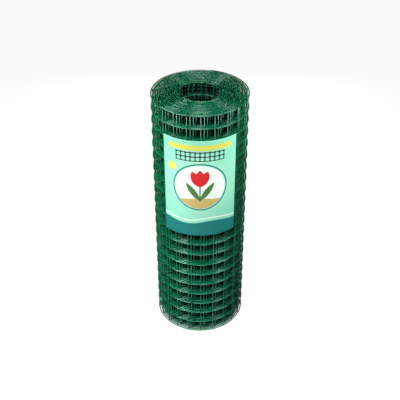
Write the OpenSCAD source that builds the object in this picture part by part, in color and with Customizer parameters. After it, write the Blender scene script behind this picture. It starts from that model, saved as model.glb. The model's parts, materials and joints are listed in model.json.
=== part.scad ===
// Roll of plastic-coated welded wire mesh, standing on its end, with a paper label round its front.
// Millimetres, +Z up along the roll's axis, origin at the centre of the lower end, label towards -Y.

/* [Mesh] */
// Side of the square mesh, from wire centre to wire centre
cell = 25.4; // [15:0.1:50]
// Rows of mesh between the two edges of the sheet
rows = 20; // [12:1:60]
// Diameter of a wire over its plastic coat
wire_d = 2.1; // [1.2:0.1:2.2]
// Flat sides that stand for the round section of a wire
wire_sides = 8; // [6:2:12]
// How far two crossing wires sink into each other at their weld
weld_sink = 0.3; // [0.15:0.05:0.6]
// How far the cut ends of the upright wires stand past the centre of an edge wire
stub = 1.5; // [1.4:0.1:5]

/* [Roll] */
// Outside diameter over the wires
roll_d = 179; // [172:1:300]
// Diameter of the open core
bore_d = 68; // [40:1:76]
// Turns of the sheet between the open core and the outside
turns = 13; // [6:1:14]
// Depth to which the gaps between the turns are open at each end
gap_depth = 8; // [5:0.5:20]

/* [Label] */
// Width of the paper, measured round the roll
label_w = 141; // [60:1:250]
// Height of the paper
label_h = 208; // [60:1:240]
// Thickness of the paper
label_t = 0.3; // [0.2:0.1:1]
// Distance from the upper end of the roll down to the paper
label_drop = 49.5; // [10:0.5:250]
// Space between the paper and the wires that it lies on
label_clearance = 0.1; // [0.05:0.05:0.3]

/* [Hidden] */
$fn = 96;

wire_r = wire_d / 2;
roll_r = roll_d / 2;
bore_r = bore_d / 2;
height = rows * cell + 2 * stub;

// Distance between the centre lines of two welded wires, measured along a radius
weld_offset = wire_d - weld_sink;

// The wires along the sheet lie outside the upright wires, so a turn's outer surface is theirs
outer_line_r = roll_r - wire_r;
inner_line_r = bore_r + wire_r + weld_offset;

// The turns share the room between the core and the outside evenly
turn_step = (outer_line_r - inner_line_r) / (turns - 1);
turn_radii = [for (i = [0 : turns - 1]) inner_line_r + i * turn_step];
edge_heights = [stub, height - stub];

label_r = roll_r + label_clearance;
label_angle = label_w / (label_r + label_t / 2) * 180 / PI;
label_base = height - label_drop - label_h;

wire_green = [0.03, 0.42, 0.29];
label_mint = [0.67, 0.94, 0.84];

// Section of one wire
module wire_section() {
    circle(d = wire_d, $fn = wire_sides);
}

// Half section of one turn: the band that its upright wires fill and the edge wires welded to it
module turn_section(line_r) {
    translate([line_r - weld_offset - wire_r, 0]) square([wire_d, height]);
    for (z = edge_heights) translate([line_r, z]) wire_section();
}

// Half section of the packed turns between the open gaps at the two ends
module packed_section() {
    inside = inner_line_r - weld_offset;
    outside = outer_line_r - weld_offset;
    translate([inside, gap_depth]) square([outside - inside, height - 2 * gap_depth]);
}

// Half section of the wires that run round the outermost turn, one at each row of the mesh
module outer_wire_section() {
    for (row = [0 : rows]) translate([outer_line_r, stub + row * cell]) wire_section();
}

// The rolled sheet as one turned piece, with its open core and its turns on both ends
module mesh_roll() {
    color(wire_green) rotate_extrude() {
        packed_section();
        for (line_r = turn_radii) turn_section(line_r);
        outer_wire_section();
    }
}

// The sheet of printed paper, bent round the outermost wires and centred on the front
module paper_label() {
    color(label_mint)
        rotate([0, 0, -90 - label_angle / 2])
            rotate_extrude(angle = label_angle)
                translate([label_r, label_base]) square([label_t, label_h]);
}

mesh_roll();
paper_label();
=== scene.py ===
"""Looks of a standing roll of plastic-coated welded wire mesh with a paper label round its front.

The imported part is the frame: it gives the roll's height and radius, its open core and the label's place.
Each piece is worked out in millimetres as whole numpy arrays and stored in metres, in the frame's own axes:
+Z up along the core, -Y towards the label.
"""
import json
import logging
import math
from dataclasses import dataclass, field
from enum import Enum
from functools import cached_property

import bpy
import numpy as np
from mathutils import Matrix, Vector


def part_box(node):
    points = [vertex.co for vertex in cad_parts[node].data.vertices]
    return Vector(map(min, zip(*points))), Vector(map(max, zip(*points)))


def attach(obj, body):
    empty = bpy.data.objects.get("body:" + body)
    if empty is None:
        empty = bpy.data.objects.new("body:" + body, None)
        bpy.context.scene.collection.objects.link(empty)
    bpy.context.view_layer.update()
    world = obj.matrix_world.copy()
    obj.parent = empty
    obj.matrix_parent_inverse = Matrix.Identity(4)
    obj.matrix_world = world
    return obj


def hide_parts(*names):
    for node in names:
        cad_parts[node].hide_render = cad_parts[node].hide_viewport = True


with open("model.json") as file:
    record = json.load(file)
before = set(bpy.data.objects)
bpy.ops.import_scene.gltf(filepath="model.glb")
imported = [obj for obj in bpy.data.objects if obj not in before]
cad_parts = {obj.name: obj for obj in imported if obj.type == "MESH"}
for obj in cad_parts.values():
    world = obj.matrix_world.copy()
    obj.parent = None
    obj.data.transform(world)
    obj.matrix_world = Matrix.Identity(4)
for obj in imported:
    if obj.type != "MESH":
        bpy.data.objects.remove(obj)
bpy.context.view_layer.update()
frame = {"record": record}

LOG = logging.getLogger("wire_mesh_roll")
MM = 0.001
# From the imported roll's outside in to its outermost wire's line, and from its core out to the innermost
LINE_INSET = 1.25
CORE_INSET = 3.0
ROOT = "root"
FULL_TURN = 2.0 * np.pi
NOISE_SPAN = (0.3, 0.7)
Array = np.ndarray
Pair = tuple[float, float]
Triple = tuple[float, float, float]
Colour = Triple
Socket = bpy.types.NodeSocket


def srgb(red: int, green: int, blue: int) -> Colour:
    """Turn a colour written as 0 to 255 into the linear values that a shader takes.

    Args:
        red: red share as seen on a screen.
        green: green share.
        blue: blue share.

    Returns:
        The colour in linear light.
    """
    shares = np.array([red, green, blue]) / 255.0
    linear = np.where(shares <= 0.04045, shares / 12.92, ((shares + 0.055) / 1.055) ** 2.4)
    return tuple(float(value) for value in linear)


class Slot(Enum):
    """The record's material slots."""

    COATED_WIRE = "coated_wire"
    LABEL_PAPER = "label_paper"


class Light(Enum):
    """What a lamp is for: even light, or only the glints on glossy wires."""

    EVEN = "even"
    GLINT = "glint"


class Node(Enum):
    """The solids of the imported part."""

    MESH_ROLL = "mesh_roll"
    PAPER_LABEL = "paper_label"


class Band(Enum):
    """The three heights into which the wires along the sheet are shared, as separate pieces."""

    LOWER = 0
    MIDDLE = 1
    UPPER = 2


class Recipe:
    """A material whose nodes are added and joined by short calls.

    A Mix node has its two colours in sockets 6 and 7 and their mixture in output 2.
    """

    mix_colours = (6, 7)
    mix_result = 2

    def __init__(self, name: str) -> None:
        """Start an empty material.

        Args:
            name: the material's name.
        """
        self.material = bpy.data.materials.new(name)
        self.material.use_nodes = True
        self.tree = self.material.node_tree
        self.tree.nodes.clear()
        self.output = self.tree.nodes.new("ShaderNodeOutputMaterial")

    def add(self, kind: str, inputs: dict | None = None, **settings: object) -> bpy.types.Node:
        """Add a node, set its options and fill its sockets.

        Args:
            kind: the node's type without the words ShaderNode.
            inputs: socket name or number to a value, or to another node's output socket.
            settings: the node's own options by name.

        Returns:
            The new node.
        """
        node = self.tree.nodes.new("ShaderNode" + kind)
        for option, value in settings.items():
            setattr(node, option, value)
        for socket, value in (inputs or {}).items():
            if isinstance(value, Socket):
                self.tree.links.new(value, node.inputs[socket])
            else:
                node.inputs[socket].default_value = value
        return node

    def math(self, operation: str, first: object, second: object) -> Socket:
        """Work out a sum, a product or the like of two numbers and return it."""
        return self.add("Math", {0: first, 1: second}, operation=operation).outputs[0]

    def vectors(self, operation: str, first: object, second: object = (0.0, 0.0, 0.0)) -> bpy.types.Node:
        """Work on one or two vectors and return the node."""
        return self.add("VectorMath", {0: first, 1: second}, operation=operation)

    def noise(self, coords: Socket, scale: float, detail: float = 2.0) -> Socket:
        """Add a noise pattern and return its grey value."""
        return self.add("TexNoise", {"Vector": coords, "Scale": scale, "Detail": detail}).outputs["Fac"]

    def span(self, value: Socket, low: float, high: float, start: float = 0.0, end: float = 1.0) -> Socket:
        """Map a value from start..end to low..high, held at both ends, and return it."""
        inputs = {"Value": value, "From Min": start, "From Max": end, "To Min": low, "To Max": high}
        return self.add("MapRange", inputs).outputs["Result"]

    def mix(self, share: Socket, under: object, over: object) -> Socket:
        """Lay one colour over another.

        Args:
            share: how much of the upper colour shows, from 0 to 1.
            under: a colour, or the socket that gives it.
            over: the upper colour, in the same way.

        Returns:
            The socket with the mixture.
        """
        node = self.add("Mix", {0: share}, data_type="RGBA", clamp_factor=True)
        for socket, colour in zip(self.mix_colours, (under, over)):
            if isinstance(colour, Socket):
                self.tree.links.new(colour, node.inputs[socket])
            else:
                node.inputs[socket].default_value = (*colour, 1.0)
        return node.outputs[self.mix_result]

    def attribute(self, name: str) -> Socket:
        """Read a number that the mesh stores at its points."""
        return self.add("Attribute", attribute_name=name).outputs["Fac"]

    def finish(self, shader: bpy.types.Node) -> bpy.types.Material:
        """Join a shader to the output and return the material."""
        self.tree.links.new(shader.outputs[0], self.output.inputs["Surface"])
        return self.material


@dataclass(frozen=True)
class CoatedWireFinish:
    """Green plastic coat on a wire: uneven in tone and gloss, with the faint ripple of a dipped coat.

    It is dull on the cut ends and where it has pooled round the welds. Pale specks are painted on the
    sheet's edge welds as highlights, and a painted shade darkens the coat and its gloss deep between the
    turns. Depths and radii are in metres.
    """

    deep: Colour = srgb(4, 95, 62)
    light: Colour = srgb(8, 114, 76)
    # Colour of the painted shade deep between the turns.
    painted_shade: Colour = srgb(1, 28, 20)
    # Colour of the pale specks painted on the edge welds as highlights.
    painted_speck_colour: Colour = srgb(170, 225, 196)
    glint: Colour = (0.72, 1.0, 0.88)
    tone_span: Pair = (0.35, 1.5)
    gloss: Pair = (0.13, 0.2)
    dull: float = 0.5
    sheen: Pair = (0.03, 0.5)
    ior: float = 1.5
    ripple: float = 0.04
    ripple_depth: float = 0.2 * MM
    broad_scale: float = 28.0
    fine_scale: float = 700.0
    fine_detail: float = 3.0
    open_radius: Pair = (0.07, 0.082)
    open_end: Pair = (0.0055, 0.0015)
    open_core: Pair = (0.046, 0.0385)
    core_depth: Pair = (0.1, 0.02)

    def painted_light_share(self, recipe: Recipe, coords: Socket, height: float) -> Socket:
        """Share of light painted into the coat at a place, the rest being painted shade: whole on the
        outside and at both ends, none deep between the turns.

        On the wall of the open core it fades from the ends inwards.

        Args:
            recipe: the material in the making.
            coords: object coordinates.
            height: of the roll in metres.

        Returns:
            A share from 0 to 1.
        """
        level = recipe.vectors("MULTIPLY", coords, (1.0, 1.0, 0.0)).outputs["Vector"]
        radius = recipe.vectors("LENGTH", level).outputs["Value"]
        rise = recipe.add("SeparateXYZ", {0: coords}).outputs["Z"]
        depth = recipe.math("MINIMUM", rise, recipe.math("SUBTRACT", height, rise))
        side = recipe.span(radius, 0.0, 1.0, *self.open_radius)
        ends = recipe.span(depth, 0.0, 1.0, *self.open_end)
        wall = recipe.span(radius, 0.0, 1.0, *self.open_core)
        lit = recipe.span(depth, 0.0, 1.0, *self.core_depth)
        core = recipe.math("MULTIPLY", wall, lit)
        return recipe.math("MAXIMUM", recipe.math("MAXIMUM", side, ends), core)

    def material(self, height: float) -> bpy.types.Material:
        """Build the material on object coordinates and on the numbers stored at the wires' points.

        They are the wire's tone, how dull its coat is and where a pale speck is painted as a highlight.

        Args:
            height: of the roll in metres.

        Returns:
            The finished material.
        """
        recipe = Recipe("green_coated_wire")
        coords = recipe.add("TexCoord").outputs["Object"]
        painted_light = self.painted_light_share(recipe, coords, height)
        broad = recipe.noise(coords, self.broad_scale)
        fine = recipe.noise(coords, self.fine_scale, self.fine_detail)
        tone = recipe.math("ADD", recipe.attribute("tone"), broad)
        colour = recipe.mix(recipe.span(tone, 0.0, 1.0, *self.tone_span), self.deep, self.light)
        # Painted shade: deep between the turns and on the core's wall the coat turns to a dark colour.
        colour = recipe.mix(painted_light, self.painted_shade, colour)
        # Painted highlight: pale specks on the edge welds stand in for their glints.
        colour = recipe.mix(recipe.attribute("painted_speck"), colour, self.painted_speck_colour)
        bump = recipe.add("Bump", {"Strength": self.ripple, "Distance": self.ripple_depth, "Height": fine})
        smooth = recipe.span(broad, *self.gloss, *NOISE_SPAN)
        dull = recipe.span(recipe.attribute("dull"), 0.0, self.dull)
        # The gloss also falls with the painted light share, so that deep wires lose their glints.
        shader = recipe.add("BsdfPrincipled", {
            "Base Color": colour,
            "Roughness": recipe.math("MAXIMUM", smooth, dull),
            "IOR": self.ior,
            "Specular IOR Level": recipe.span(painted_light, *self.sheen),
            "Specular Tint": (*self.glint, 1.0),
            "Normal": bump.outputs["Normal"],
        })
        return recipe.finish(shader)


class Ink(Enum):
    """The inks of the label's print, from the first laid down to the last, with their colours."""

    WHITE = srgb(236, 246, 239)
    YELLOW = srgb(218, 214, 92)
    TEAL = srgb(32, 122, 118)
    SOIL = srgb(200, 176, 110)
    LEAF = srgb(74, 122, 60)
    RED = srgb(214, 34, 40)
    DARK = srgb(8, 26, 24)

    @property
    def plate(self) -> str:
        """Name of the stored distances that tell where this ink is laid."""
        return f"plate_{self.name.lower()}"


@dataclass(frozen=True)
class PrintedPaperFinish:
    """Coated paper in mint, paler towards its middle, with flat inks laid on it plate by plate."""

    ground: Colour = srgb(130, 218, 183)
    pale: Colour = srgb(176, 234, 208)
    edge_softness: float = 0.2
    fibre_scale: float = 900.0
    fibre_detail: float = 4.0
    fibre_relief: float = 0.08
    fibre_depth: float = 0.05 * MM
    roughness: Pair = (0.42, 0.58)
    sheen: float = 0.05

    def material(self) -> bpy.types.Material:
        """Build the material on the distances to each ink's outline that the sheet stores at its points.

        Returns:
            The finished material.
        """
        recipe = Recipe("printed_label_paper")
        coords = recipe.add("TexCoord").outputs["Object"]
        fibre = recipe.noise(coords, self.fibre_scale, self.fibre_detail)
        colour = recipe.mix(recipe.attribute("glow"), self.ground, self.pale)
        for ink in Ink:
            distance = recipe.attribute(ink.plate)
            laid = recipe.span(distance, 1.0, 0.0, -self.edge_softness, self.edge_softness)
            colour = recipe.mix(laid, colour, ink.value)
        relief = {"Strength": self.fibre_relief, "Distance": self.fibre_depth, "Height": fibre}
        bump = recipe.add("Bump", relief)
        shader = recipe.add("BsdfPrincipled", {
            "Base Color": colour,
            "Roughness": recipe.span(fibre, *self.roughness, *NOISE_SPAN),
            "Specular IOR Level": self.sheen,
            "Normal": bump.outputs["Normal"],
        })
        return recipe.finish(shader)


@dataclass(frozen=True)
class PaleFloorFinish:
    """A pale floor that looks white to the camera, takes a soft shadow, and has a painted shade under the
    roll.

    Behind the roll lies a painted shadow, the shade that a lamp by the camera would throw. It is a round
    cone on the floor: from a circle round the roll's foot to the larger circle that its upper end throws,
    a reach further back.
    """

    foot_radius: float
    thrown_radius: float
    reach: float
    colour: Colour = srgb(186, 188, 190)
    # Colour of the painted shade under the roll.
    dark: Colour = srgb(16, 30, 25)
    shade_tint: Colour = srgb(176, 204, 192)
    white_share: float = 0.85
    white_strength: float = 1.13
    shade_share: float = 0.2
    footprint: Pair = (0.072, 0.086)
    shade_edge: Pair = (-0.012, 0.0)

    def shade(self, recipe: Recipe, coords: Socket) -> Socket:
        """Share of the white at a place: whole in the open and none within the painted shadow.

        Args:
            recipe: the material in the making.
            coords: object coordinates.

        Returns:
            A share from 0 to 1.
        """
        back = recipe.add("SeparateXYZ", {0: coords}).outputs["Y"]
        along = recipe.span(back, 0.0, self.reach, 0.0, self.reach)
        radius = recipe.span(back, self.foot_radius, self.thrown_radius, 0.0, self.reach)
        axis = recipe.add("CombineXYZ", {"Y": along}).outputs[0]
        off = recipe.vectors("DISTANCE", coords, axis).outputs["Value"]
        return recipe.span(recipe.math("SUBTRACT", off, radius), 0.0, 1.0, *self.shade_edge)

    def material(self) -> bpy.types.Material:
        """Mix a lit floor with plain white for the rays that show it directly.

        Returns:
            The finished material.
        """
        recipe = Recipe("pale_floor")
        coords = recipe.add("TexCoord").outputs["Object"]
        away = recipe.vectors("LENGTH", coords).outputs["Value"]
        clear = recipe.span(away, 0.0, 1.0, *self.footprint)
        seen = recipe.span(recipe.add("LightPath").outputs["Is Camera Ray"], 0.0, self.white_share)
        share = recipe.math("MULTIPLY", seen, clear)
        # Painted shade: the floor turns dark within the roll's footprint.
        lit = recipe.add("BsdfDiffuse", {"Color": recipe.mix(clear, self.dark, self.colour)})
        # Painted shadow: behind the roll the white is dimmed to a tinted grey.
        open_floor = self.shade(recipe, coords)
        dim = tuple(self.shade_share * value for value in self.shade_tint)
        colour = recipe.mix(open_floor, dim, (1.0, 1.0, 1.0))
        white = recipe.add("Emission", {"Color": colour, "Strength": self.white_strength})
        shader = recipe.add("MixShader", {0: share, 1: lit.outputs[0], 2: white.outputs[0]})
        return recipe.finish(shader)


def make_piece(name: str, points: Array, quads: Array, triangles: Array | None = None) -> bpy.types.Object:
    """Store whole arrays of points and faces as a smooth mesh object at the origin.

    Args:
        name: the piece's name.
        points: an n by 3 array in millimetres.
        quads: an array of four point numbers a face.
        triangles: an array of three point numbers a face, where there are any.

    Returns:
        The linked object.
    """
    if triangles is None:
        triangles = np.empty((0, 3), int)
    corners = np.concatenate([quads.ravel(), triangles.ravel()]).astype(np.int32)
    starts = np.concatenate([4 * np.arange(len(quads)), quads.size + 3 * np.arange(len(triangles))])
    mesh = bpy.data.meshes.new(name)
    mesh.vertices.add(len(points))
    mesh.vertices.foreach_set("co", (points * MM).astype(np.float32).ravel())
    mesh.loops.add(len(corners))
    mesh.loops.foreach_set("vertex_index", corners)
    mesh.polygons.add(len(starts))
    mesh.polygons.foreach_set("loop_start", starts.astype(np.int32))
    mesh.polygons.foreach_set("use_smooth", np.ones(len(starts), bool))
    mesh.update(calc_edges=True)
    piece = bpy.data.objects.new(name, mesh)
    bpy.context.scene.collection.objects.link(piece)
    return piece


def store_numbers(piece: bpy.types.Object, name: str, values: Array) -> None:
    """Store one number at each of a mesh's points, under a name that its material reads."""
    attribute = piece.data.attributes.new(name, "FLOAT", "POINT")
    attribute.data.foreach_set("value", np.ascontiguousarray(values, np.float32).ravel())


def set_on_part(piece: bpy.types.Object, node: Node, material: bpy.types.Material) -> None:
    """Dress a piece, let it ride on the part and let it stand for its solid.

    Args:
        piece: the finished mesh object.
        node: the solid that it stands for.
        material: the piece's finish.
    """
    piece.data.materials.append(material)
    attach(piece, ROOT)
    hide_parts(node.value)
    piece.data.calc_loop_triangles()
    LOG.info("%s: %d triangles", piece.name, len(piece.data.loop_triangles))


def unit(vectors: Array) -> Array:
    """Give vectors along the last axis a length of one."""
    return vectors / np.linalg.norm(vectors, axis=-1, keepdims=True)


def tubes(centres: Array, outward: Array, radii: Array, sides: int) -> tuple[Array, Array, Array]:
    """Carry a circle along each of many paths, and close each end in a point.

    A point at angle a lies at centre + radius * (outward * cos a + side * sin a), where side is the path's
    direction crossed with outward. The first and last points of a path are the tips of its rounded ends.

    Args:
        centres: paths by points by 3, in millimetres.
        outward: unit vectors across the path, of the same shape or one that spreads to it.
        radii: the circle's radius at each point of a path.
        sides: points round the circle.

    Returns:
        Points, four-sided faces and three-sided faces.
    """
    paths, count = centres.shape[:2]
    along = unit(np.gradient(centres, axis=1))
    outward = np.broadcast_to(outward, centres.shape)
    outward = unit(outward - along * (outward * along).sum(-1, keepdims=True))
    side = np.cross(along, outward)
    turn = FULL_TURN * np.arange(sides) / sides
    rim = outward[:, :, None] * np.cos(turn)[:, None] + side[:, :, None] * np.sin(turn)[:, None]
    rings = (centres[:, :, None] + radii[None, :, None, None] * rim)[:, 1:-1]
    tips = centres[:, [0, -1]]
    number = np.arange(paths * (count - 2) * sides).reshape(paths, count - 2, sides)
    after = np.roll(number, -1, axis=2)
    quads = np.stack([number[:, :-1], after[:, :-1], after[:, 1:], number[:, 1:]], -1).reshape(-1, 4)
    tip_number = number.size + np.arange(2 * paths).reshape(paths, 2, 1)
    start_tip, end_tip = (np.broadcast_to(tip_number[:, end], (paths, sides)) for end in (0, 1))
    start_fan = np.stack([start_tip, after[:, 0], number[:, 0]], -1)
    end_fan = np.stack([end_tip, number[:, -1], after[:, -1]], -1)
    fans = np.concatenate([start_fan, end_fan]).reshape(-1, 3)
    return np.concatenate([rings.reshape(-1, 3), tips.reshape(-1, 3)]), quads, fans


@dataclass(frozen=True)
class Winding:
    """The line, seen from above, that the wires along the sheet follow from its outer end in to the core.

    A place on it is told by its turn, counted inwards from the back of the roll: 0.5, 1.5 and so on are at
    the front. Each turn is round at the right, front and left, and steps in to the next one by the back.
    """

    outer_radius: float
    core_radius: float
    step: float = 4.14
    step_growth: float = 0.012
    lean: Pair = (1.0, 1.2)
    step_start: float = 0.84
    front_turn: float = 0.5
    turns: float = 13.0
    samples: int = 26001

    def steps_taken(self, turn: Array) -> Array:
        """Steps taken in from the outermost turn: one a turn, by the curve u^3 (10 - 15 u + 6 u^2).

        Args:
            turn: places along the line.

        Returns:
            Whole steps, and the share of the one under way.
        """
        whole = np.floor(turn)
        u = np.clip((turn - whole - self.step_start) / (1 - self.step_start), 0, 1)
        return whole + u**3 * (10 - 15 * u + 6 * u**2)

    def radius(self, turn: Array) -> Array:
        """Radius at a turn: the outer radius less the steps taken, which grow a little inwards."""
        taken = self.steps_taken(turn)
        return self.outer_radius - self.step * taken - self.step_growth / 2 * taken**2

    def outward(self, turn: Array) -> Array:
        """Level unit vectors that point away from the axis at each turn."""
        angle = np.pi / 2 - FULL_TURN * turn
        return np.stack([np.cos(angle), np.sin(angle), np.zeros_like(angle)], -1)

    def place(self, turn: Array, depth: Array | float = 0.0) -> Array:
        """Points on the line, or a depth below it, with the inner turns a little off centre.

        Args:
            turn: places along the line.
            depth: how far towards the axis.

        Returns:
            Points at height zero.
        """
        radius = self.radius(turn)
        inner_share = (self.outer_radius - radius) / (self.outer_radius - self.core_radius)
        shift = np.array([*self.lean, 0.0]) * inner_share[..., None]
        return self.outward(turn) * (radius - depth)[..., None] + shift

    @cached_property
    def table(self) -> tuple[Array, Array]:
        """Lengths of the line, added up from many short straight pieces.

        Returns:
            Turns, and the length from the front of the outermost turn in to each.
        """
        turn = np.linspace(0.0, self.turns, self.samples)
        pieces = np.linalg.norm(np.diff(self.place(turn), axis=0), axis=-1)
        length = np.concatenate([[0.0], np.cumsum(pieces)])
        return turn, length - np.interp(self.front_turn, turn, length)

    def turn_at(self, length: Array) -> Array:
        """Turn at a length of line, measured inwards from the front of the outermost turn."""
        turn, table_length = self.table
        return np.interp(length, table_length, turn)

    def length_at(self, turn: Array) -> Array:
        """Length of line from the front of the outermost turn in to a turn."""
        table_turn, length = self.table
        return np.interp(turn, table_turn, length)


@dataclass
class WoundMesh:
    """The rolled sheet: wires along it, upright wires welded inside them, and fillets of coat on the welds.

    The slip of the turns is a wave of so many radians a turn from a start. A cap's points have a distance
    from the tip and a radius, both as shares of the wire's radius, and a dullness.
    """

    winding: Winding
    height: float
    cell: float = 25.4
    rows: int = 20
    wire_radius: float = 1.05
    weld_sink: float = 0.3
    cells_outside_front: int = 10
    cells: int = 198
    front_weld: float = -1.4
    stub: float = 0.4
    end_stub: float = 1.6
    straightness: float = 0.22
    bend_share: float = 0.12
    slip: float = 0.6
    slip_wave: Pair = (2.3, 1.1)
    wander: float = 0.1
    sides: int = 10
    fillet_sides: int = 6
    fillet_reach: float = 0.42
    fillet_stations: tuple[float, ...] = (-1.0, -0.72, 0.0, 0.72, 1.0)
    speck_radius: Pair = (46.0, 80.0)
    speck_slope: float = 1.4
    seed: int = 7
    cap: tuple[Triple, ...] = (
        (0.0, 0.0, 1.0), (0.03, 0.72, 1.0), (0.28, 1.0, 1.0), (0.7, 1.0, 0.0))
    finish: CoatedWireFinish = field(default_factory=CoatedWireFinish)

    def __post_init__(self) -> None:
        """Draw the small errors of the welding machine once, for every piece."""
        draw = np.random.default_rng(self.seed)
        self.weld_error = draw.uniform(-self.wander, self.wander, self.cells + 1)
        self.row_error = draw.uniform(-self.wander, self.wander, (self.rows + 1, self.cells + 1))
        self.line_tone = draw.uniform(0.0, 1.0, self.rows + 1)
        self.upright_tone = draw.uniform(0.0, 1.0, self.cells + 1)

    @property
    def weld_offset(self) -> float:
        """Distance between the centre lines of two welded wires."""
        return 2 * self.wire_radius - self.weld_sink

    @property
    def edge(self) -> float:
        """Height of the lower edge wire, whose lowest places lie on the floor."""
        return self.wire_radius + self.wander

    @cached_property
    def weld_lengths(self) -> Array:
        """Lengths along the winding at which the upright wires are welded."""
        number = np.arange(self.cells + 1) - self.cells_outside_front
        return self.front_weld + number * self.cell + self.weld_error

    def lift(self, turn: Array) -> Array:
        """How far a turn has slipped upwards against the lowest one: a slow sine wave from turn to turn."""
        pace, start = self.slip_wave
        return self.slip * (0.5 + 0.5 * np.sin(pace * turn + start))

    def cap_steps(self) -> Array:
        """Distances of the points of a rounded end from its tip."""
        return self.wire_radius * np.array(self.cap)[:, 0]

    def path_radii(self, middle: int) -> Array:
        """Radii along a path: a rounded start, a plain middle of that many points and a rounded end."""
        shares = np.array(self.cap)[:, 1]
        return self.wire_radius * np.concatenate([shares, np.ones(middle), shares[::-1]])

    def path_dullness(self, middle: int) -> Array:
        """Dullness along a path: dull cut ends, and a glossy middle of that many points."""
        shares = np.array(self.cap)[:, 2]
        return np.concatenate([shares, np.zeros(middle), shares[::-1]])

    @staticmethod
    def spread(shares: Array, values: Array, sides: int) -> Array:
        """Numbers at the points of a piece of tubes: the values along a path, times the share of each path.

        Args:
            shares: one for each path.
            values: along a path, from tip to tip.
            sides: points round the circle.

        Returns:
            The rings of every path, then the two tips of every path.
        """
        rings = np.outer(shares, np.repeat(values[1:-1], sides))
        tips = np.outer(shares, values[[0, -1]])
        return np.concatenate([rings.ravel(), tips.ravel()])

    def mark(self, piece: bpy.types.Object, tones: Array, dullness: Array, sides: int) -> None:
        """Store the tone of each path, and how dull the coat is along it, on a piece of tubes.

        Args:
            piece: the piece.
            tones: one for each path.
            dullness: along a path, from tip to tip.
            sides: points round the circle.
        """
        store_numbers(piece, "tone", self.spread(tones, np.ones_like(dullness), sides))
        store_numbers(piece, "dull", self.spread(np.ones(len(tones)), dullness, sides))

    def line_wires(self, band: Band) -> bpy.types.Object:
        """Build a third of the wires along the sheet.

        Between two welds the wire dips below its round line by straightness * sag * 4 u (1 - u), where u
        runs from 0 to 1 and sag is cell squared over eight radii: at 1 it would be quite straight.

        Args:
            band: which third.

        Returns:
            The piece.
        """
        shares = np.array([0.0, self.bend_share, 0.5, 1.0 - self.bend_share])
        starts, ends = self.weld_lengths[:-1], self.weld_lengths[1:]
        inner = (starts[:, None] + shares * (ends - starts)[:, None]).ravel()
        share = np.tile(shares, self.cells)
        weld = np.arange(self.cells)[:, None] + shares
        steps = self.cap_steps()
        first = self.weld_lengths[0] - self.end_stub + steps
        last = self.weld_lengths[-1] + self.end_stub - steps[::-1]
        length = np.concatenate([first, inner, self.weld_lengths[-1:], last])
        pad = np.zeros(len(steps))
        share = np.concatenate([pad, share, [0.0], pad])
        weld = np.concatenate([pad, weld.ravel(), [self.cells], pad + self.cells])
        turn = self.winding.turn_at(length)
        sag = self.cell**2 / (8 * self.winding.radius(turn))
        dip = self.straightness * sag * 4 * share * (1 - share)
        line = self.winding.place(turn, dip)
        rows = np.array_split(np.arange(self.rows + 1), len(Band))[band.value]
        numbers = np.arange(self.cells + 1)
        errors = np.stack([np.interp(weld, numbers, self.row_error[row]) for row in rows])
        centres = np.broadcast_to(line, (len(rows), *line.shape)).copy()
        centres[..., 2] = self.edge + rows[:, None] * self.cell + self.lift(turn) + errors
        middle = len(inner) + 1
        surface = tubes(centres, self.winding.outward(turn), self.path_radii(middle), self.sides)
        piece = make_piece(f"line_wires_{band.name.lower()}", *surface)
        self.mark(piece, self.line_tone[rows], self.path_dullness(middle), self.sides)
        return piece

    def upright_wires(self) -> bpy.types.Object:
        """Build the upright wires: straight, with rounded cut ends, one at each weld, inside the others.

        Returns:
            The piece.
        """
        turn = self.winding.turn_at(self.weld_lengths)
        foot = self.winding.place(turn, self.weld_offset)
        steps = self.cap_steps()
        length = self.rows * self.cell + 2 * self.stub
        rise = self.edge - self.stub + np.concatenate([steps, length - steps[::-1]])
        centres = np.broadcast_to(foot[:, None], (len(foot), len(rise), 3)).copy()
        centres[..., 2] = rise + self.lift(turn)[:, None]
        outward = self.winding.outward(turn)[:, None]
        piece = make_piece("upright_wires", *tubes(centres, outward, self.path_radii(0), self.sides))
        self.mark(piece, self.upright_tone, self.path_dullness(0), self.sides)
        return piece

    def weld_fillets(self) -> bpy.types.Object:
        """Build a fillet of coat at every weld: an ellipsoid round both wires, longest along the radius.

        On the sheet's two edges its inner half gets a pale speck, a painted highlight, more on some welds
        and on the outer turns.

        Returns:
            The piece.
        """
        turn = self.winding.turn_at(self.weld_lengths)
        outward = self.winding.outward(turn)
        sideways = np.cross([0.0, 0.0, 1.0], outward)
        middle = self.winding.place(turn, self.weld_offset / 2)
        reach = self.wire_radius + self.fillet_reach * self.weld_offset
        stations = np.array(self.fillet_stations)
        path = middle[:, None] + outward[:, None] * (reach * stations)[:, None]
        radii = self.wire_radius * np.sqrt(1 - stations**2)
        rows = np.arange(self.rows + 1)
        centres = np.broadcast_to(path, (len(rows), *path.shape)).copy()
        heights = self.edge + rows[:, None] * self.cell + self.lift(turn) + self.row_error
        centres[..., 2] = heights[..., None]
        centres = centres.reshape(-1, len(stations), 3)
        across = np.broadcast_to(sideways[None, :, None], (len(rows), len(turn), 1, 3)).reshape(-1, 1, 3)
        piece = make_piece("weld_fillets", *tubes(centres, across, radii, self.fillet_sides))
        tones = np.tile(self.upright_tone, len(rows))
        self.mark(piece, tones, np.ones(len(stations)), self.fillet_sides)
        # Painted highlight: pale specks on the inner halves of the edge welds, stronger on the outer turns.
        speck_weight = self.upright_tone * np.interp(self.winding.radius(turn), self.speck_radius, (0.0, 1.0))
        speck_shares = np.outer(np.isin(rows, (0, self.rows)), speck_weight).ravel()
        inner_half = np.clip(-self.speck_slope * stations, 0.0, 1.0)
        store_numbers(piece, "painted_speck", self.spread(speck_shares, inner_half, self.fillet_sides))
        return piece

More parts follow.
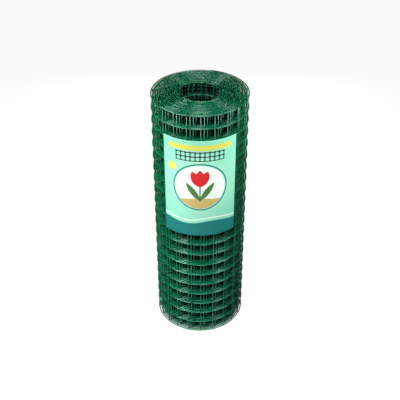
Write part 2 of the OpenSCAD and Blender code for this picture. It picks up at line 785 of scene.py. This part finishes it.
    def build(self) -> None:
        """Build the pieces of the sheet and dress them."""
        material = self.finish.material(self.height * MM)
        pieces = [self.line_wires(band) for band in Band]
        pieces += [self.upright_wires(), self.weld_fillets()]
        for piece in pieces:
            set_on_part(piece, Node.MESH_ROLL, material)


def disc(x: Array, y: Array, centre: Pair, radius: float) -> Array:
    """Distance outside a circle, negative within it."""
    return np.hypot(x - centre[0], y - centre[1]) - radius


def panel(x: Array, y: Array, centre: Pair, size: Pair, corner: float) -> Array:
    """Distance outside a rectangle with rounded corners, negative within it.

    Args:
        x: places across the sheet.
        y: places up the sheet.
        centre: the rectangle's centre.
        size: its width and height.
        corner: the radius of its corners.

    Returns:
        Distances in millimetres.
    """
    dx = np.abs(x - centre[0]) - size[0] / 2 + corner
    dy = np.abs(y - centre[1]) - size[1] / 2 + corner
    return np.hypot(np.maximum(dx, 0), np.maximum(dy, 0)) + np.minimum(np.maximum(dx, dy), 0) - corner


def blade(x: Array, y: Array, foot: Pair, length: float, width: float, lean: float) -> Array:
    """Distance outside a pointed leaf or petal, which is what two equal circles share, negative within it.

    Args:
        x: places across the sheet.
        y: places up the sheet.
        foot: the point that it grows from.
        length: from point to point.
        width: at its middle.
        lean: degrees that it leans to the right.

    Returns:
        Distances in millimetres.
    """
    angle = math.radians(lean)
    axis = np.array([math.sin(angle), math.cos(angle)])
    up = (x - foot[0]) * axis[0] + (y - foot[1]) * axis[1] - length / 2
    off = (x - foot[0]) * axis[1] - (y - foot[1]) * axis[0]
    radius = (length**2 / width + width) / 4
    return np.hypot(np.abs(off) + radius - width / 2, up) - radius


@dataclass(frozen=True)
class GardenPrint:
    """A generic garden print without lettering: a flower in a round panel, bar, sun, fence and wave.

    Heights are shares of the sheet's height, and widths and radii are shares of its width. The soil and
    the flower go by the panel's radius. Gaps, swings, corners and the widths of lines are in millimetres.
    A leaf or petal has a length, a width and the degrees that it leans.
    """

    panel_height: float = 0.53
    panel_radius: float = 0.33
    ring_gap: float = 3.0
    half_line: float = 1.3
    wave_height: float = 0.15
    white_wave_height: float = 0.185
    wave_swing: float = 3.0
    wave_length: float = 0.7
    soil_drop: float = 0.55
    soil_swing: float = 1.5
    soil_wave: float = 1.6
    foot_drop: float = 0.62
    bloom_rise: float = 0.02
    stem_width: float = 2.4
    stem_overlap: float = 6.0
    stem_corner: float = 1.0
    leaf: Triple = (1.0, 0.24, 34.0)
    petal: Triple = (0.78, 0.36, 24.0)
    bar_height: float = 0.93
    bar_size: Pair = (0.86, 0.05)
    fence_height: float = 0.845
    fence_pitch: float = 0.062
    fence_cells: Pair = (10.3, 2.3)
    fence_corner: float = 0.5
    half_wire: float = 1.0
    sun_place: Pair = (-0.37, 0.72)
    sun_radius: float = 0.06

    def wave(self, x: Array, y: Array, sheet: Pair, height: float) -> Array:
        """Rise above a line that swings by a sine round a share of the sheet's height."""
        width, rise = sheet
        return y - height * rise - self.wave_swing * np.sin(x * FULL_TURN / (self.wave_length * width))

    def fence(self, x: Array, y: Array, sheet: Pair) -> Array:
        """Distance outside a strip of square mesh: lines a pitch apart both ways, cut to a rectangle.

        Args:
            x: places across the sheet.
            y: places up the sheet.
            sheet: its width and height.

        Returns:
            Distances in millimetres.
        """
        pitch = self.fence_pitch * sheet[0]
        across, up = (np.abs((place / pitch + 0.5) % 1 - 0.5) for place in (x, y))
        bars = np.minimum(across, up) * pitch - self.half_wire
        size = (self.fence_cells[0] * pitch, self.fence_cells[1] * pitch)
        return np.maximum(bars, panel(x, y, (0.0, self.fence_height * sheet[1]), size, self.fence_corner))

    def flower(self, x: Array, y: Array, hub: float, medal: float) -> tuple[Array, Array]:
        """Distances outside the stem with its two leaves, and outside the three petals.

        Args:
            x: places across the sheet.
            y: places up the sheet.
            hub: height of the round panel's centre.
            medal: radius of the round panel.

        Returns:
            Both distances in millimetres.
        """
        foot, bloom = hub - self.foot_drop * medal, hub + self.bloom_rise * medal
        stem_size = (self.stem_width, bloom - foot + self.stem_overlap)
        green = [panel(x, y, (0.0, (foot + bloom) / 2), stem_size, self.stem_corner)]
        length, width, lean = self.leaf
        green += [blade(x, y, (0.0, foot), length * medal, width * medal, side * lean) for side in (-1, 1)]
        length, width, lean = self.petal
        red = [blade(x, y, (0.0, bloom), length * medal, width * medal, side * lean) for side in (-1, 0, 1)]
        return np.minimum.reduce(green), np.minimum.reduce(red)

    def plates(self, x: Array, y: Array, sheet: Pair) -> dict[Ink, Array]:
        """Work out how far each point of the sheet lies outside each ink's shapes.

        Args:
            x: places across the sheet, from its centre line.
            y: places up the sheet, from its lower edge.
            sheet: its width and height.

        Returns:
            Ink to distances in millimetres, negative where the ink is laid.
        """
        w, h = sheet
        hub, medal = self.panel_height * h, self.panel_radius * w
        inside = disc(x, y, (0.0, hub), medal)
        ring = np.abs(disc(x, y, (0.0, hub), medal + self.ring_gap)) - self.half_line
        white_wave = np.abs(self.wave(x, y, sheet, self.white_wave_height)) - self.half_line
        ripple = self.soil_swing * np.cos(x * FULL_TURN / (self.soil_wave * medal))
        soil_top = y - hub + self.soil_drop * medal - ripple
        green, red = self.flower(x, y, hub, medal)
        bar_width, bar_rise = self.bar_size[0] * w, self.bar_size[1] * h
        bar = panel(x, y, (0.0, self.bar_height * h), (bar_width, bar_rise), bar_rise / 2)
        sun = disc(x, y, (self.sun_place[0] * w, self.sun_place[1] * h), self.sun_radius * w)
        return {
            Ink.WHITE: np.minimum(inside, white_wave),
            Ink.YELLOW: np.minimum(bar, sun),
            Ink.TEAL: np.minimum(self.wave(x, y, sheet, self.wave_height), ring),
            Ink.SOIL: np.maximum(inside, soil_top),
            Ink.LEAF: green,
            Ink.RED: red,
            Ink.DARK: self.fence(x, y, sheet),
        }


@dataclass
class PaperLabel:
    """The printed sheet of paper bent round the front of the roll."""

    winding: Winding
    wound_mesh: WoundMesh
    base: float
    width: float
    height: float
    thickness: float = 0.22
    spacing: float = 1.25
    seat: float = 0.05
    cling: float = 0.5
    row_sag: float = 0.12
    curl: float = 0.5
    curl_start: float = 0.85
    glow_height: float = 0.55
    glow_size: Pair = (0.42, 0.36)
    artwork: GardenPrint = field(default_factory=GardenPrint)
    finish: PrintedPaperFinish = field(default_factory=PrintedPaperFinish)

    @cached_property
    def grid(self) -> tuple[Array, Array]:
        """Points spread evenly over the flat sheet.

        Returns:
            Places across it from its centre line, and places up it from its lower edge.
        """
        columns = round(self.width / self.spacing) + 1
        rows = round(self.height / self.spacing) + 1
        across = np.linspace(-self.width / 2, self.width / 2, columns)
        up = np.linspace(0.0, self.height, rows)
        return tuple(np.meshgrid(across, up))

    def surface_radius(self) -> Array:
        """Radius of the paper's underside at each point of the sheet.

        The paper lies on the outer wires. It sinks a share of their dip between uprights, sags a little
        between rows, and lifts along its two sides.

        Returns:
            Radii in millimetres.
        """
        x, y = self.grid
        sheet = self.wound_mesh
        seat = self.winding.outer_radius + sheet.wire_radius + self.seat
        turn = self.winding.front_turn - x / seat / FULL_TURN
        cell_share = (self.winding.length_at(turn) - sheet.front_weld) / sheet.cell % 1
        row_share = (self.base + y - sheet.edge) / sheet.cell % 1
        dip = sheet.straightness * sheet.cell**2 / (8 * seat)
        sink = self.cling * dip * 4 * cell_share * (1 - cell_share)
        sag = self.row_sag * np.sin(np.pi * row_share) ** 2
        share = (np.abs(x) / (self.width / 2) - self.curl_start) / (1 - self.curl_start)
        lift = self.curl * np.clip(share, 0, 1) ** 2
        return self.winding.radius(turn) + sheet.wire_radius + self.seat - sink - sag + lift

    def build(self) -> None:
        """Build the sheet as a closed skin, print it and dress it.

        Both faces are the grid bent round the axis: the angle is the place across over the inner radius.
        """
        x, y = self.grid
        inner = self.surface_radius()
        angle = -np.pi / 2 + x / inner
        faces = []
        for radius in (inner + self.thickness, inner):
            faces.append(np.stack([radius * np.cos(angle), radius * np.sin(angle), self.base + y], -1))
        number = np.arange(x.size).reshape(x.shape)
        corners = [number[:-1, :-1], number[:-1, 1:], number[1:, 1:], number[1:, :-1]]
        front = np.stack(corners, -1).reshape(-1, 4)
        back = front[:, ::-1] + x.size
        border = np.concatenate([number[0, :-1], number[:-1, -1], number[-1, :0:-1], number[:0:-1, 0]])
        after = np.roll(border, -1)
        rim = np.stack([after, border, border + x.size, after + x.size], -1)
        points = np.concatenate([face.reshape(-1, 3) for face in faces])
        piece = make_piece("printed_label", points, np.concatenate([front, back, rim]))
        blank = np.full(x.size, self.width)
        for ink, distance in self.artwork.plates(x, y, (self.width, self.height)).items():
            store_numbers(piece, ink.plate, np.concatenate([distance.ravel(), blank]))
        off_across = x / (self.glow_size[0] * self.width)
        off_up = (y / self.height - self.glow_height) / self.glow_size[1]
        glow = np.exp(-(off_across**2) - off_up**2)
        store_numbers(piece, "glow", np.concatenate([glow.ravel(), np.ones(x.size)]))
        set_on_part(piece, Node.PAPER_LABEL, self.finish.material())


@dataclass(frozen=True)
class SoftBox:
    """A square area lamp: its place, the place it faces, its side, power, use and spread in degrees."""

    name: str
    place: Triple
    facing: Triple
    side: float
    power: float
    use: Light = Light.EVEN
    spread: float = 180.0

    def build(self) -> None:
        """Add the lamp."""
        lamp = bpy.data.lights.new(self.name, "AREA")
        lamp.shape = "SQUARE"
        lamp.size = self.side
        lamp.energy = self.power
        lamp.spread = math.radians(self.spread)
        holder = bpy.data.objects.new(self.name, lamp)
        holder.location = self.place
        aim = Vector(self.facing) - Vector(self.place)
        holder.rotation_euler = aim.to_track_quat("-Z", "Y").to_euler()
        holder.visible_camera = False
        holder.visible_glossy = self.use is Light.GLINT
        holder.visible_diffuse = self.use is Light.EVEN
        bpy.context.scene.collection.objects.link(holder)


@dataclass(frozen=True)
class Studio:
    """The floor, the lamps, the surroundings and the camera at the photograph's viewing angle."""

    roll_radius: float
    roll_height: float
    lens: float = 68.27
    sensor: float = 36.0
    pitch: float = 35.85
    distance: float = 1.4921
    aim_height: float = 0.2721
    floor_side: float = 12.0
    surround: float = 0.01
    lamps: tuple[SoftBox, ...] = (
        SoftBox("key_left", (-0.34, -0.6, 1.03), (0.0, -0.1, 0.0), 0.35, 2.35, Light.EVEN, 62.0),
        SoftBox("key_right", (0.6, -0.2, 0.85), (0.0, 0.0, 0.6), 0.35, 0.65, Light.EVEN, 80.0),
        SoftBox("side_left", (-0.65, 0.0, 0.54), (0.0, 0.0, 0.47), 0.3, 0.5, Light.EVEN, 60.0),
        SoftBox("side_right", (0.65, 0.0, 0.54), (0.0, 0.0, 0.47), 0.3, 0.8, Light.EVEN, 60.0),
        SoftBox("fill_back", (0.0, 1.0, 0.5), (0.0, 0.0, 0.3), 0.8, 9.0),
        SoftBox("glint_front", (0.0, -0.9, 0.05), (0.0, -0.09, 0.45), 0.5, 23.0, Light.GLINT),
        SoftBox("glint_over", (0.0, 0.1, 1.6), (0.0, 0.0, 0.5), 0.42, 10.5, Light.GLINT),
        SoftBox("glint_upper_left", (-0.343, -0.069, 0.758), (0.0, -0.05, 0.48), 0.2, 2.2, Light.GLINT),
        SoftBox("glint_upper_right", (0.36, -0.069, 0.758), (0.0, -0.05, 0.48), 0.2, 1.5, Light.GLINT),
        SoftBox("glint_lower_left", (-0.3, -0.31, 0.45), (-0.03, -0.08, 0.15), 0.24, 4.8, Light.GLINT),
        SoftBox("glint_lower_right", (0.31, -0.29, 0.45), (0.03, -0.08, 0.15), 0.2, 2.3, Light.GLINT),
    )

    @property
    def camera_place(self) -> Vector:
        """Work out where the camera stands, in front of the roll and above it.

        Returns:
            Its place in metres.
        """
        down = math.radians(self.pitch)
        rise = self.aim_height + self.distance * math.sin(down)
        return Vector((0.0, -self.distance * math.cos(down), rise))

    def build_floor(self) -> None:
        """Add the floor, level with the roll's lower end, with a painted shadow as a lamp by the camera
        would throw it.

        From the camera's height the shade grows by that height over the height left above the roll.
        """
        camera = self.camera_place
        growth = camera.z / (camera.z - self.roll_height)
        finish = PaleFloorFinish(self.roll_radius, growth * self.roll_radius, camera.y * (1 - growth))
        half = self.floor_side / 2 / MM
        corners = np.array([[-half, -half, 0.0], [half, -half, 0.0], [half, half, 0.0], [-half, half, 0.0]])
        floor = make_piece("floor", corners, np.array([[0, 1, 2, 3]]))
        floor.data.materials.append(finish.material())

    def build_surround(self) -> None:
        """Add even pale light all round, which shows as plain white where it is seen directly."""
        world = bpy.data.worlds.new("pale_surround")
        world.use_nodes = True
        bpy.context.scene.world = world
        nodes, links = world.node_tree.nodes, world.node_tree.links
        path = nodes.new("ShaderNodeLightPath")
        strength = nodes.new("ShaderNodeMapRange")
        strength.inputs["To Min"].default_value = self.surround
        strength.inputs["To Max"].default_value = 1.0
        links.new(path.outputs["Is Camera Ray"], strength.inputs["Value"])
        background = nodes["Background"]
        background.inputs["Color"].default_value = (1.0, 1.0, 1.0, 1.0)
        links.new(strength.outputs["Result"], background.inputs["Strength"])

    def build_camera(self) -> None:
        """Add the camera in front of the roll, looking down at it."""
        camera = bpy.data.cameras.new("camera")
        camera.lens = self.lens
        camera.sensor_width = self.sensor
        holder = bpy.data.objects.new("camera", camera)
        holder.location = self.camera_place
        holder.rotation_euler = (math.pi / 2 - math.radians(self.pitch), 0.0, 0.0)
        bpy.context.scene.collection.objects.link(holder)
        bpy.context.scene.camera = holder

    def build(self) -> None:
        """Add everything round the object."""
        self.build_floor()
        self.build_surround()
        for lamp in self.lamps:
            lamp.build()
        self.build_camera()
        bpy.context.scene.view_settings.view_transform = "Standard"


def core_radius() -> float:
    """Radius of the open core in millimetres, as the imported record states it."""
    mounts = {mount["name"]: mount for mount in frame["record"]["mounts"]}
    return mounts["core"]["dims"]["r_mm"]


def main() -> None:
    """Build the wound mesh, its label and the studio from the frame."""
    logging.basicConfig(level=logging.INFO, format="%(message)s")
    roll_low, roll_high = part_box(Node.MESH_ROLL.value)
    label_low, label_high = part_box(Node.PAPER_LABEL.value)
    height = (roll_high.z - roll_low.z) / MM
    winding = Winding(roll_high.x / MM - LINE_INSET, core_radius() + CORE_INSET)
    wound_mesh = WoundMesh(winding, height)
    wound_mesh.build()
    label_radius = -label_low.y / MM
    label_width = 2 * label_radius * math.asin(label_high.x / MM / label_radius)
    label_height = (label_high.z - label_low.z) / MM
    PaperLabel(winding, wound_mesh, label_low.z / MM, label_width, label_height).build()
    Studio(roll_high.x, roll_high.z).build()


if __name__ == "__main__":
    main()
